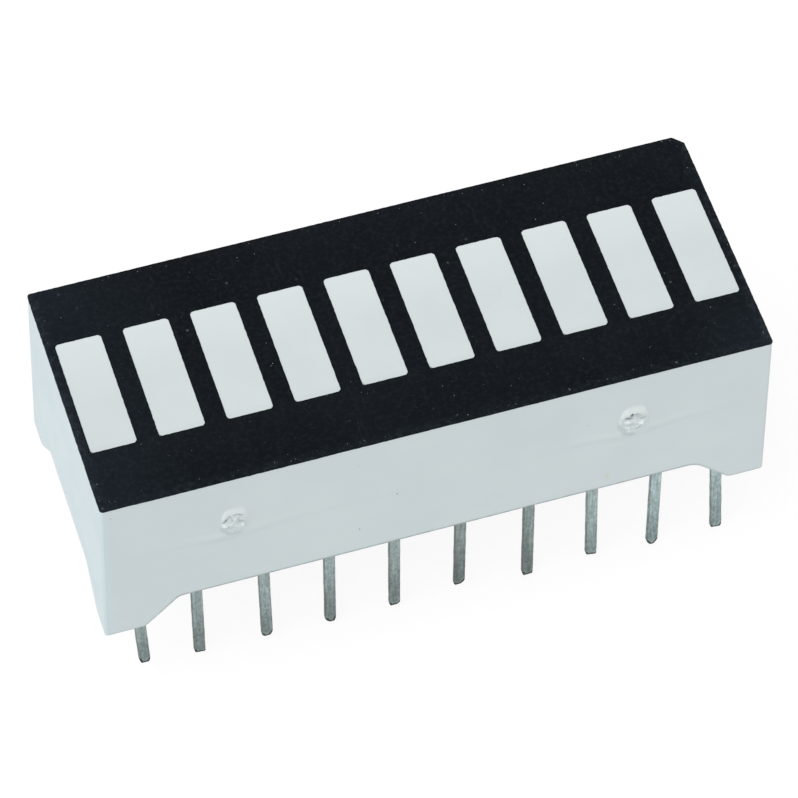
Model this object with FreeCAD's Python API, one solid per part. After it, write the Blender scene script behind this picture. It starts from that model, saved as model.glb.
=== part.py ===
import FreeCAD, Part
import math
import os
from FreeCAD import Vector

# Ten-segment bar display: a white moulded housing with a black coated face, ten filled light
# wells, a chip board sealed in from behind, and two rows of tinned pins.
# Millimetres. The origin is the centre of the seating plane under the four feet, X runs along
# the row of segments, Y to the rear row of pins and Z up through the display face.

# Overall. The face is a little shorter than its ten pitches, so that bars stand end to end
# on one grid, and it reaches past each row of pins by the same margin.
SEGMENTS = 10
PITCH = 2.54
ROW_SPACING = 7.62
STACKING_GAP = 0.1
ROW_MARGIN = 1.27
BODY_HEIGHT = 7.8
FACE_LENGTH = SEGMENTS * PITCH - STACKING_GAP
FACE_WIDTH = ROW_SPACING + 2 * ROW_MARGIN

# Housing
DRAFT_DEG = 0.5
CORNER_RADIUS = 0.12
INDEX_CHAMFER = 0.38
END_WALL = 0.65
SIDE_WALL = 0.7
POCKET_RADIUS = 0.3
SIDE_FOOT_LENGTH = 1.4
END_FOOT_LENGTH = 1.25
ARCH_RISE = 1.35
ARCH_SLOPE_DEG = 45.0
SIDE_CROWN_RADII = (0.3, 0.9)
END_CROWN_RADII = (0.5, 0.5)
FOOT_RADIUS = 0.4
GATE_SCARS_X = (-7.75, 7.4)
GATE_SCAR_DROP = 2.55
GATE_SCAR_WIDTH = 1.05
GATE_SCAR_HEIGHT = 1.65
GATE_SCAR_RELIEF = 0.04
GATE_SCAR_SLOPE = 0.1
GATE_SCAR_STEPS = 16

# Black coat on the face
COAT_THICKNESS = 0.08
COAT_EDGE_BEVEL = 0.04

# Light wells and the lenses cast in them
WINDOW_WIDTH = 1.75
WINDOW_LENGTH = 5.08
WINDOW_RADIUS = 0.2
WINDOW_CORNER_STEPS = 3
WELL_FLOOR_WIDTH = 1.1
WELL_FLOOR_LENGTH = 3.9
WELL_FLOOR_RADIUS = 0.15
LENS_RECESS = 0.02

# Chip board and what it carries
BOARD_TOP = 3.8
BOARD_THICKNESS = 0.8
BOARD_CLEARANCE = 0.05
SLOT_CLEARANCE = 0.02
TRACK_THICKNESS = 0.035
LAND_SIZE = 0.9
DIE_TRACK_WIDTH = 0.7
WIRE_TRACK_WIDTH = 0.45
CHIP_SIZE = 0.32
CHIP_HEIGHT = 0.22
WIRE_SIZE = 0.04
WIRE_LOOP_RADIUS = 0.4
WIRE_LOOP_STEPS = 6
SOLDER_SPREAD = 0.3
SOLDER_HEIGHT = 0.6
SOLDER_TIP = 0.04
SEAL_RECESS = 0.4

# Pins
PIN_WIDTH = 0.45
PIN_THICKNESS = 0.25
PIN_EDGE_BEVEL = 0.05
PIN_REACH = 4.73
TIP_THINNING = 0.04
TIP_ROUNDINGS = (0.17, 0.08, 0.17, 0.14, 0.12, 0.10, 0.14, 0.09, 0.17, 0.08)

# Small bends and cut lengths of the pins, from the left end of each row to the right:
# sideways shift at the seating plane, sideways shift at the tip, extra reach.
FRONT_ROW = (
    (0.10, 0.25, -0.48), (-0.15, -0.15, -0.24), (-0.10, -0.05, -0.16), (-0.10, -0.10, 0.01),
    (-0.10, -0.10, -0.02), (-0.05, -0.07, -0.30), (0.10, 0.12, 0.25), (0.05, 0.14, -0.01),
    (0.05, 0.07, 0.37), (-0.12, 0.13, 0.30),
)
REAR_ROW = (
    (0.05, 0.10, 0.10), (0.00, -0.05, 0.30), (-0.05, 0.00, 0.15), (0.00, 0.10, 0.20),
    (0.05, 0.05, 0.05), (-0.05, -0.10, 0.25), (0.00, 0.05, 0.10), (0.05, 0.00, 0.20),
    (0.00, -0.05, 0.30), (-0.05, -0.10, 0.15),
)

# Levels and offsets that follow from the sizes above
HOUSING_TOP = BODY_HEIGHT - COAT_THICKNESS
LENS_TOP = BODY_HEIGHT - LENS_RECESS
BOARD_BOTTOM = BOARD_TOP - BOARD_THICKNESS
SEAL_LEVEL = ARCH_RISE + SEAL_RECESS
POCKET_HALF_X = FACE_LENGTH / 2 - END_WALL
POCKET_HALF_Y = FACE_WIDTH / 2 - SIDE_WALL
WIRE_PAD_Y = 2 * WIRE_LOOP_RADIUS
PIN_ROWS = ((-1, FRONT_ROW), (1, REAR_ROW))


def half_length(z):
    """Half the housing's length at a height, with the draft."""
    return FACE_LENGTH / 2 + (BODY_HEIGHT - z) * math.tan(math.radians(DRAFT_DEG))


def half_width(z):
    """Half the housing's width at a height, with the draft."""
    return FACE_WIDTH / 2 + (BODY_HEIGHT - z) * math.tan(math.radians(DRAFT_DEG))


def segment_x(index):
    """X of a column of segments and pins, counted from the left end."""
    return (index - (SEGMENTS - 1) / 2) * PITCH


def pin_y(side):
    """Y of a row of pins: side is -1 in front and 1 behind."""
    return side * ROW_SPACING / 2


def rounded_outline(corners):
    """Edges of a closed outline through (point, radius) corners, each rounded by an arc."""
    starts = []
    ends = []
    edges = []
    count = len(corners)
    for i, (point, radius) in enumerate(corners):
        back = (corners[i - 1][0] - point).normalize()
        ahead = (corners[(i + 1) % count][0] - point).normalize()
        run = radius / math.tan(back.getAngle(ahead) / 2)
        starts.append(point + back * run)
        ends.append(point + ahead * run)
    for i, (point, radius) in enumerate(corners):
        if radius > 0:
            inward = (starts[i] + ends[i]) * 0.5 - point
            half_angle = (starts[i] - point).getAngle(inward)
            depth = radius / math.sin(half_angle) - radius
            middle = point + inward.normalize() * depth
            edges.append(Part.Arc(starts[i], middle, ends[i]).toShape())
        edges.append(Part.LineSegment(ends[i], starts[(i + 1) % count]).toShape())
    return edges


def rectangle(x, y, z, half_x, half_y, radius):
    """Level rectangle about (x, y) with its corners rounded by arcs."""
    signs = ((1, -1), (1, 1), (-1, 1), (-1, -1))
    return rounded_outline([(Vector(x + sx * half_x, y + sy * half_y, z), radius) for sx, sy in signs])


def faceted_rectangle(x, y, z, half_x, half_y, radius, steps):
    """Level rectangle about (x, y) with each corner rounded in a few straight steps."""
    corners = []
    for quarter, (sx, sy) in enumerate(((1, -1), (1, 1), (-1, 1), (-1, -1))):
        centre = Vector(x + sx * (half_x - radius), y + sy * (half_y - radius), z)
        for step in range(steps + 1):
            turn = math.pi / 2 * (quarter - 1 + step / steps)
            corners.append((centre + Vector(math.cos(turn), math.sin(turn), 0) * radius, 0.0))
    return rounded_outline(corners)


def housing_outline(z, inset=0.0):
    """Outline of the housing at a height: three rounded corners and the index chamfer."""
    x = half_length(z) - inset
    y = half_width(z) - inset
    return rounded_outline([
        (Vector(x, -y, z), CORNER_RADIUS),
        (Vector(x, y - INDEX_CHAMFER, z), 0.0),
        (Vector(x - INDEX_CHAMFER, y, z), 0.0),
        (Vector(-x, y, z), CORNER_RADIUS),
        (Vector(-x, -y, z), CORNER_RADIUS),
    ])


def skin(outlines):
    """Solid through level outlines with matching edges: flat sides, ruled ones at the arcs."""
    faces = [Part.Face(Part.Wire(outlines[0])), Part.Face(Part.Wire(outlines[-1]))]
    for lower, upper in zip(outlines, outlines[1:]):
        for low, high in zip(lower, upper):
            if isinstance(low.Curve, Part.Line):
                ring = [low.valueAt(low.FirstParameter), low.valueAt(low.LastParameter),
                        high.valueAt(high.LastParameter), high.valueAt(high.FirstParameter)]
                faces.append(Part.Face(Part.makePolygon(ring + ring[:1])))
            else:
                faces.append(Part.makeRuledSurface(low, high))
    shell = Part.makeShell(faces)
    shell.sewShape()
    solid = Part.Solid(shell)
    if solid.Volume < 0:
        solid.reverse()
    return solid


def prism(outline, height):
    """Upright solid on a level outline."""
    return Part.Face(Part.Wire(outline)).extrude(Vector(0, 0, height))


def block(x, y, z, size_x, size_y, size_z):
    """Box centred on (x, y) that stands on the height z."""
    return Part.makeBox(size_x, size_y, size_z, Vector(x - size_x / 2, y - size_y / 2, z))


def well_outline(x, z):
    """Outline of a light well at a height between its floor and the display face."""
    rise = (z - BOARD_TOP) / (BODY_HEIGHT - BOARD_TOP)
    width = WELL_FLOOR_WIDTH + rise * (WINDOW_WIDTH - WELL_FLOOR_WIDTH)
    length = WELL_FLOOR_LENGTH + rise * (WINDOW_LENGTH - WELL_FLOOR_LENGTH)
    radius = WELL_FLOOR_RADIUS + rise * (WINDOW_RADIUS - WELL_FLOOR_RADIUS)
    return faceted_rectangle(x, 0, z, width / 2, length / 2, radius, WINDOW_CORNER_STEPS)


def well(x, top):
    """Tapered light well from the board up to a height."""
    return skin([well_outline(x, BOARD_TOP), well_outline(x, top)])


def arch(half_span, reach, along_x, crown_radii):
    """Cutter for the arched lower edge of two opposite walls, between their feet."""
    run = ARCH_RISE / math.tan(math.radians(ARCH_SLOPE_DEG))
    skirt = half_span + run

    def place(across, z):
        return Vector(across, -reach, z) if along_x else Vector(-reach, across, z)

    outline = rounded_outline([
        (place(-skirt, -ARCH_RISE), 0.0),
        (place(-skirt, 0), 0.0),
        (place(-half_span, 0), FOOT_RADIUS),
        (place(-half_span + run, ARCH_RISE), crown_radii[0]),
        (place(half_span - run, ARCH_RISE), crown_radii[1]),
        (place(half_span, 0), FOOT_RADIUS),
        (place(skirt, 0), 0.0),
        (place(skirt, -ARCH_RISE), 0.0),
    ])
    travel = Vector(0, 2 * reach, 0) if along_x else Vector(2 * reach, 0, 0)
    return Part.Face(Part.Wire(outline)).extrude(travel)


def gate_scar(x):
    """Low oval scar, proud of the front wall, where a moulding gate was broken off."""
    middle = BODY_HEIGHT - GATE_SCAR_DROP
    wall = -half_width(middle)

    def oval(y, inset):
        half_x = GATE_SCAR_WIDTH / 2 - inset
        half_z = half_x * GATE_SCAR_HEIGHT / GATE_SCAR_WIDTH
        turns = [2 * math.pi * step / GATE_SCAR_STEPS for step in range(GATE_SCAR_STEPS)]
        points = [Vector(x + half_x * math.cos(t), y, middle + half_z * math.sin(t)) for t in turns]
        return rounded_outline([(point, 0.0) for point in points])

    return skin([oval(wall + GATE_SCAR_RELIEF, 0), oval(wall - GATE_SCAR_RELIEF, GATE_SCAR_SLOPE)])


def reflector_housing():
    """White moulding: block with ten wells, rear pocket and four corner feet."""
    body = skin([housing_outline(0), housing_outline(HOUSING_TOP)])
    pocket = prism(rectangle(0, 0, 0, POCKET_HALF_X, POCKET_HALF_Y, POCKET_RADIUS), BOARD_TOP)
    cutters = [pocket]
    cutters.append(arch(half_length(0) - SIDE_FOOT_LENGTH, FACE_WIDTH, True, SIDE_CROWN_RADII))
    cutters.append(arch(half_width(0) - END_FOOT_LENGTH, FACE_LENGTH, False, END_CROWN_RADII))
    cutters += [well(segment_x(i), BODY_HEIGHT) for i in range(SEGMENTS)]
    return body.cut(cutters).fuse([gate_scar(x) for x in GATE_SCARS_X])


def black_face_coat():
    """Black film over the face, open at the ten windows and bevelled at its rim."""
    film = skin([
        housing_outline(HOUSING_TOP),
        housing_outline(BODY_HEIGHT - COAT_EDGE_BEVEL),
        housing_outline(BODY_HEIGHT, COAT_EDGE_BEVEL),
    ])
    return film.cut([well(segment_x(i), BODY_HEIGHT) for i in range(SEGMENTS)])


def led_chip(x):
    """Light-emitting chip on its die pad."""
    return block(x, 0, BOARD_TOP, CHIP_SIZE, CHIP_SIZE, CHIP_HEIGHT)


def bond_wire(x):
    """Looped wire from the top of the chip down to its own pad."""
    chip_top = BOARD_TOP + CHIP_HEIGHT
    inner = WIRE_LOOP_RADIUS - WIRE_SIZE / 2
    outer = WIRE_LOOP_RADIUS + WIRE_SIZE / 2
    left = x - WIRE_SIZE / 2
    turns = [math.pi * (1 - step / WIRE_LOOP_STEPS) for step in range(WIRE_LOOP_STEPS + 1)]

    def loop_point(radius, turn):
        return Vector(left, WIRE_LOOP_RADIUS + radius * math.cos(turn), chip_top + radius * math.sin(turn))

    points = [loop_point(outer, turn) for turn in turns]
    points.append(Vector(left, WIRE_LOOP_RADIUS + outer, BOARD_TOP))
    points.append(Vector(left, WIRE_LOOP_RADIUS + inner, BOARD_TOP))
    points += [loop_point(inner, turn) for turn in reversed(turns)]
    face = Part.Face(Part.makePolygon(points + points[:1]))
    return face.extrude(Vector(WIRE_SIZE, 0, 0))


def segment_lens(x):
    """Diffused resin that fills a well and its window, round the chip and the wire."""
    return well(x, LENS_TOP).cut([led_chip(x), bond_wire(x)])


def pin_slot(x, side):
    """Slot through the board for a pin, as the solid that fills it."""
    width = PIN_WIDTH + 2 * SLOT_CLEARANCE
    depth = PIN_THICKNESS + 2 * SLOT_CLEARANCE
    return block(x, pin_y(side), BOARD_BOTTOM, width, depth, BOARD_THICKNESS)


def track(x, side):
    """Copper from a pin's land to the die pad in front, or to the wire pad behind."""
    level = BOARD_TOP - TRACK_THICKNESS
    width = WIRE_TRACK_WIDTH if side > 0 else DIE_TRACK_WIDTH
    near_end = WIRE_PAD_Y - width / 2 if side > 0 else width / 2
    run = abs(pin_y(side) - near_end)
    land = block(x, pin_y(side), level, LAND_SIZE, LAND_SIZE, TRACK_THICKNESS)
    strip = block(x, (pin_y(side) + near_end) / 2, level, width, run, TRACK_THICKNESS)
    return land.fuse(strip).removeSplitter().cut(pin_slot(x, side))


def circuit_board(tracks):
    """Board with its copper let in flush and a slot for each pin."""
    half_x = POCKET_HALF_X - BOARD_CLEARANCE
    half_y = POCKET_HALF_Y - BOARD_CLEARANCE
    slab = prism(rectangle(0, 0, BOARD_BOTTOM, half_x, half_y, POCKET_RADIUS), BOARD_THICKNESS)
    slots = [pin_slot(segment_x(i), side) for side, row in PIN_ROWS for i in range(SEGMENTS)]
    return slab.cut(tracks + slots)


def pin(x, side, shift, tip_shift, reach, rounding):
    """Tinned flat pin from the board's top to its rounded tip, with its small bend."""
    eased = rounding * (1 - math.sqrt(0.5))

    def section(offset, z, narrower, thinner):
        half_w = PIN_WIDTH / 2 - narrower
        half_t = PIN_THICKNESS / 2 - thinner
        bevel = min(PIN_EDGE_BEVEL, half_w / 2)
        return faceted_rectangle(x + offset, pin_y(side), z, half_w, half_t, bevel, 1)

    return skin([
        section(tip_shift, -reach, rounding, TIP_THINNING),
        section(tip_shift, eased - reach, eased, TIP_THINNING / 2),
        section(tip_shift, rounding - reach, 0, 0),
        section(shift, 0, 0, 0),
        section(0, SEAL_LEVEL, 0, 0),
        section(0, BOARD_TOP, 0, 0),
    ])


def pin_row(side, row):
    """The pins of one row, from the left end to the right."""
    pins = []
    for i, (shift, tip_shift, extra) in enumerate(row):
        rounding = TIP_ROUNDINGS[i % len(TIP_ROUNDINGS)]
        pins.append(pin(segment_x(i), side, shift, tip_shift, PIN_REACH + extra, rounding))
    return pins


def solder_joint(x, side, pin_solid):
    """Solder cone that rises round a pin from the underside of the board."""
    def section(z, spread):
        half_w = PIN_WIDTH / 2 + spread
        half_t = PIN_THICKNESS / 2 + spread
        return faceted_rectangle(x, pin_y(side), z, half_w, half_t, PIN_EDGE_BEVEL + spread / 2, 1)

    cone = skin([
        section(BOARD_BOTTOM - SOLDER_HEIGHT, SOLDER_TIP),
        section(BOARD_BOTTOM, SOLDER_SPREAD),
    ])
    return cone.cut(pin_solid)


def back_sealant(solder, pins):
    """Resin poured behind the board, its surface inside the arched edges."""
    outline = rectangle(0, 0, SEAL_LEVEL, POCKET_HALF_X, POCKET_HALF_Y, POCKET_RADIUS)
    return prism(outline, BOARD_BOTTOM - SEAL_LEVEL).cut(solder + pins)


def write_node(name, shape):
    """One STEP file for each sub-part."""
    shape.exportStep(f"parts/{name}.step")


def main():
    os.makedirs("parts", exist_ok=True)
    pins = {side: pin_row(side, row) for side, row in PIN_ROWS}
    all_pins = pins[-1] + pins[1]
    columns = [(i, side) for side, row in PIN_ROWS for i in range(SEGMENTS)]
    tracks = [track(segment_x(i), side) for i, side in columns]
    solder = [solder_joint(segment_x(i), side, pins[side][i]) for i, side in columns]

    write_node("reflector_housing", reflector_housing())
    write_node("black_face_coat", black_face_coat())
    write_node("circuit_board", circuit_board(tracks))
    write_node("board_tracks", Part.makeCompound(tracks))
    write_node("solder_joints", Part.makeCompound(solder))
    write_node("back_sealant", back_sealant(solder, all_pins))

    # Pin 1 and segment 1 are at the chamfered corner, and the pins are counted round from it.
    for i in range(SEGMENTS):
        number = SEGMENTS - i
        x = segment_x(i)
        write_node(f"segment_lens_{number:02d}", segment_lens(x))
        write_node(f"led_chip_{number:02d}", led_chip(x))
        write_node(f"bond_wire_{number:02d}", bond_wire(x))
        write_node(f"pin_{number:02d}", pins[1][i])
        write_node(f"pin_{SEGMENTS + 1 + i:02d}", pins[-1][i])


main()
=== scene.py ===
"""Looks of a ten-segment bar display around its fixed frame.

Everything is in metres in the frame's own axes: X along the segments, Y to the rear row of pins,
Z up through the display face, with the seating plane of the housing's feet at zero.
"""

import math
import random
from collections import namedtuple

import bmesh
import bpy
from mathutils import Matrix, Vector, noise
from mathutils.geometry import delaunay_2d_cdt


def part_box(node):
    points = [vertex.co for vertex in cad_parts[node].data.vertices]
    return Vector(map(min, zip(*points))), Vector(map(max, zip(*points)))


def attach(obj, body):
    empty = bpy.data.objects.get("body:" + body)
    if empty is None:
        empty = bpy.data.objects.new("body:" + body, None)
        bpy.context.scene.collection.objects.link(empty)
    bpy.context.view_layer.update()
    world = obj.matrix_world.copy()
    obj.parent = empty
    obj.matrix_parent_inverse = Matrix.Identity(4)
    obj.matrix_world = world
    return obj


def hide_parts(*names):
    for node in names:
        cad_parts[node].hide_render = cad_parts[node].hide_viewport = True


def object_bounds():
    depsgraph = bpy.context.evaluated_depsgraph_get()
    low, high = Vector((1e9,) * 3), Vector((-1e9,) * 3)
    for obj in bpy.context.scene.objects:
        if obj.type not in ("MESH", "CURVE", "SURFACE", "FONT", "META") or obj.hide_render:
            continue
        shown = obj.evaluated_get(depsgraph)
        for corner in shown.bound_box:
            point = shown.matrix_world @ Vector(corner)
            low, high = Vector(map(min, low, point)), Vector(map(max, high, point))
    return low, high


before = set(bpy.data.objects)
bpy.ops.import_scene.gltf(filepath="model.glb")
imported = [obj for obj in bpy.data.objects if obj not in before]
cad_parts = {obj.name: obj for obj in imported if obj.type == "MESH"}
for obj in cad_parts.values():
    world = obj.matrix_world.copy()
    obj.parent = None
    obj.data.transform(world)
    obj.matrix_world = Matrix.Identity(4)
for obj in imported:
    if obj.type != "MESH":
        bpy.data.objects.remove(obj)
cad_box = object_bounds()

MM = 0.001
BODY = "root"
SEGMENTS = 10
PINS = 2 * SEGMENTS

# Camera, at an azimuth and an elevation round the point that it looks at
CAMERA_AIM = Vector((-0.7, -2.28, 6.06)) * MM
CAMERA_AZIMUTH = -17.31
CAMERA_ELEVATION = 53.64
CAMERA_DISTANCE = 180.4 * MM
CAMERA_LENS = 223.53
SENSOR_WIDTH = 36.0

# Light: an even sky, a soft sun from the upper left and a pale floor
SKY_LEVEL = 0.55
SUN_LEVEL = 1.55
SUN_FROM = Vector((-0.2, -0.13, 0.4))
SUN_ANGLE = 50.0
FLOOR_HALF_SIZE = 1.5
FLOOR_GLOW = 0.875
FLOOR_SHADE = (0.15, 0.15, 0.15, 1.0)

# Outline of the face, as in the frame, and the spacing of points along outlines
FACE_CORNER_RADIUS = 0.12 * MM
INDEX_CHAMFER = 0.38 * MM
OUTLINE_STEP = 0.1 * MM

# Sides of the corners in x and y, and the windows' radii there: front right, rear right, rear
# left, front left
CORNERS = ((1, -1), (1, 1), (-1, 1), (-1, -1))
WINDOW_RADII = (0.14 * MM, 0.15 * MM, 0.13 * MM, 0.08 * MM)

# Black coat: its round shoulder, how far its border stands out and its lips reach over the
# windows, how ragged these are, and how far back the lips' feet are
COAT_SHOULDER = 0.055 * MM
COAT_PROUD = 0.015 * MM
COAT_RAGGED = 0.013 * MM
LIP_REACH = 0.013 * MM
LIP_RAGGED = 0.015 * MM
LIP_FOOT = 0.03 * MM
# Section of a lip: millimetres back from its edge and below the face
LIP_SECTION = ((0.02, 0.0), (0.006, 0.004), (0.0, 0.014), (0.0, 0.024))

# Housing: radius and least angle of its eased edges, the height below which all of them are
# eased, how far the others stay below the face, and the lean of the left end at its foot
EASED_RADIUS = 0.05 * MM
EASED_FROM = math.radians(35)
EASED_BELOW = 3.0 * MM
EASED_CLEAR = 0.5 * MM
LEFT_END_LEAN = 0.14 * MM

# Strip of painted shade along the front wall's lower edge: width, a height above all of it, its
# tone on the feet, and where on the arch it comes to full tone
RIM_WIDTH = 0.1 * MM
RIM_TOP = 1.5 * MM
RIM_FEET_TONE = 0.4
RIM_FULL_FROM = 1.2 * MM
RIM_FADE = 0.15 * MM

# Broken gates on the front wall: middles (x, z) and half sizes; as shares of these, the reach
# of the fine mesh and of the relief and the relief's fade; and in millimetres, how far the lip
# and the torn part stand out, and the lip's edge above the middle
GATES = (Vector((-7.75, 5.25)) * MM, Vector((7.41, 5.22)) * MM)
GATE_HALF_SIZES = (Vector((0.52, 0.83)) * MM, Vector((0.55, 0.89)) * MM)
GATE_MARGIN = 1.3
GATE_REACH = 1.06
GATE_FADE = 0.16
GATE_LIP = 0.075
GATE_TORN = 0.05
GATE_EDGE = 0.38

# Marks on the front wall: millimetres across and up, the stains' half sizes, and strengths
SPECKS = ((-3.1, 2.7, 0.9), (-1.65, 4.3, 0.9), (-12.3, 7.2, 0.4), (-3.1, 6.6, 0.3), (5.6, 5.5, 0.3))
STAINS = ((6.48, 2.03, 0.2, 0.32, 0.6), (7.15, 5.72, 0.2, 0.16, 0.5))

# Resin collars: spread, depth, gap to the pin and how far they sink in
COLLAR_SPREAD = 0.2 * MM
COLLAR_DROP = 0.16 * MM
COLLAR_GAP = 0.004 * MM
COLLAR_SUNK = 0.01 * MM

# Dust: seed, number of crumbs, sizes in millimetres, distance from every edge, and width in
# millimetres of the bands along the edges where more of it lies
DUST_SEED = 41
DUST_COUNT = 260
DUST_SIZES = (0.007, 0.009, 0.012, 0.016, 0.022, 0.026)
DUST_MARGIN = 0.08 * MM
DUST_BAND = 0.25

face_low, face_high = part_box("black_face_coat")
housing_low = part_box("reflector_housing")[0]
FACE_TOP = face_high.z
HOUSING_TOP = face_low.z
SEAL_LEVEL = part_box("back_sealant")[0].z
WINDOWS = [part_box(f"segment_lens_{number:02d}") for number in range(1, SEGMENTS + 1)]


class Tree:
    """Nodes of a material or the sky, in millimetres, with the colour and the normal so far."""

    def __init__(self, name, kind=bpy.data.materials):
        self.owner = kind.new(name)
        self.owner.use_nodes = True
        self.nodes = self.owner.node_tree.nodes
        self.links = self.owner.node_tree.links
        self.nodes.clear()
        self.colour = None
        self.normal = None
        self.place = self.scaled(self.add("ShaderNodeTexCoord").outputs["Object"], 1 / MM)

    def add(self, kind, inputs=None, **settings):
        """A node with its inputs linked or set."""
        node = self.nodes.new(kind)
        for key, value in settings.items():
            setattr(node, key, value)
        for key, value in (inputs or {}).items():
            if isinstance(value, bpy.types.NodeSocket):
                self.links.new(value, node.inputs[key])
            else:
                node.inputs[key].default_value = value
        return node

    def noise(self, size, detail=2.0, roughness=0.5, distortion=0.0, stretch=(1, 1, 1)):
        """Noise from 0 to 1 with features about a size across, drawn out along some axes."""
        drawn = {"Vector": self.place, "Scale": tuple(1 / s for s in stretch)}
        inputs = {
            "Vector": self.add("ShaderNodeMapping", drawn).outputs["Vector"],
            "Scale": 1 / size,
            "Detail": detail,
            "Roughness": roughness,
            "Distortion": distortion,
        }
        return self.add("ShaderNodeTexNoise", inputs).outputs["Fac"]

    def math(self, operation, a, b=0.0):
        return self.add("ShaderNodeMath", {0: a, 1: b}, operation=operation).outputs[0]

    def times(self, value, *factors):
        """Product of a value and its factors."""
        for factor in factors:
            value = self.math("MULTIPLY", value, factor)
        return value

    def off(self, value, middle):
        """How far a value is from a middle."""
        return self.math("ABSOLUTE", self.math("SUBTRACT", value, middle))

    def ramp(self, value, low, high, start=0.0, end=1.0):
        """Smooth step from start to end as a value goes from low to high."""
        inputs = {"Value": value, "From Min": low, "From Max": high, "To Min": start, "To Max": end}
        node = self.add("ShaderNodeMapRange", inputs, interpolation_type="SMOOTHSTEP")
        return node.outputs["Result"]

    def mix(self, share, a, b):
        """Colour a where the share is 0 and b where it is 1."""
        a = a if isinstance(a, bpy.types.NodeSocket) else (*a, 1.0)
        b = b if isinstance(b, bpy.types.NodeSocket) else (*b, 1.0)
        return self.add("ShaderNodeMix", {0: share, 6: a, 7: b}, data_type="RGBA").outputs[2]

    def shades(self, value, low, high):
        """Starts with one colour in the troughs of a noise and another on its crests."""
        self.colour = self.mix(self.ramp(value, 0.3, 0.7), low, high)

    def tint(self, share, colour):
        """Lays a colour over the one so far."""
        self.colour = self.mix(share, self.colour, colour)

    def dots(self, size, inner, outer, share, full, level=1.0):
        """A dot in each cell whose random value is over a share, faded from inner to outer."""
        cells = self.add("ShaderNodeTexVoronoi", {"Vector": self.place, "Scale": 1 / size}).outputs
        pick = self.add("ShaderNodeSeparateColor", {"Color": cells["Color"]}).outputs["Red"]
        dot = self.ramp(cells["Distance"], inner, outer, level, 0.0)
        return self.times(dot, self.ramp(pick, share, full))

    def scaled(self, vector, value):
        """A place or a colour times a factor."""
        inputs = {"Vector": vector, "Scale": value}
        return self.add("ShaderNodeVectorMath", inputs, operation="SCALE").outputs[0]

    def attribute(self, name):
        """A number that the mesh carries at its vertices."""
        return self.add("ShaderNodeAttribute", attribute_name=name).outputs["Fac"]

    def bump(self, height, depth):
        """Adds the relief of a height field from 0 to 1 that is depth high."""
        inputs = {"Height": height, "Distance": depth * MM, "Strength": 1.0}
        if self.normal:
            inputs["Normal"] = self.normal
        self.normal = self.add("ShaderNodeBump", inputs).outputs["Normal"]

    def axes(self):
        node = self.add("ShaderNodeSeparateXYZ", {"Vector": self.place})
        return node.outputs["X"], node.outputs["Y"], node.outputs["Z"]

    def blob(self, centre, size, level):
        """A level at a point that falls to 0 on an ellipsoid of these half sizes round it."""
        shift = {"Vector": self.place, "Location": centre, "Scale": size}
        node = self.add("ShaderNodeMapping", shift, vector_type="TEXTURE")
        length = self.add("ShaderNodeVectorMath", {0: node.outputs[0]}, operation="LENGTH")
        return self.ramp(length.outputs["Value"], 0.0, 1.0, level, 0.0)

    def surface(self, roughness, **constants):
        """Principled surface with its output; constants go on its own sockets."""
        inputs = {"Base Color": self.colour, "Roughness": roughness, "Normal": self.normal}
        inputs.update({key.replace("_", " "): value for key, value in constants.items()})
        shader = self.add("ShaderNodeBsdfPrincipled", inputs)
        self.add("ShaderNodeOutputMaterial", {"Surface": shader.outputs[0]})
        return self.owner

    def shown(self):
        """1 for what the camera, a mirror or glass shows, and 0 for light that falls on things."""
        rays = self.add("ShaderNodeLightPath").outputs
        bounced = self.math("MAXIMUM", rays["Is Glossy Ray"], rays["Is Transmission Ray"])
        return self.math("MAXIMUM", rays["Is Camera Ray"], bounced)


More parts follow.
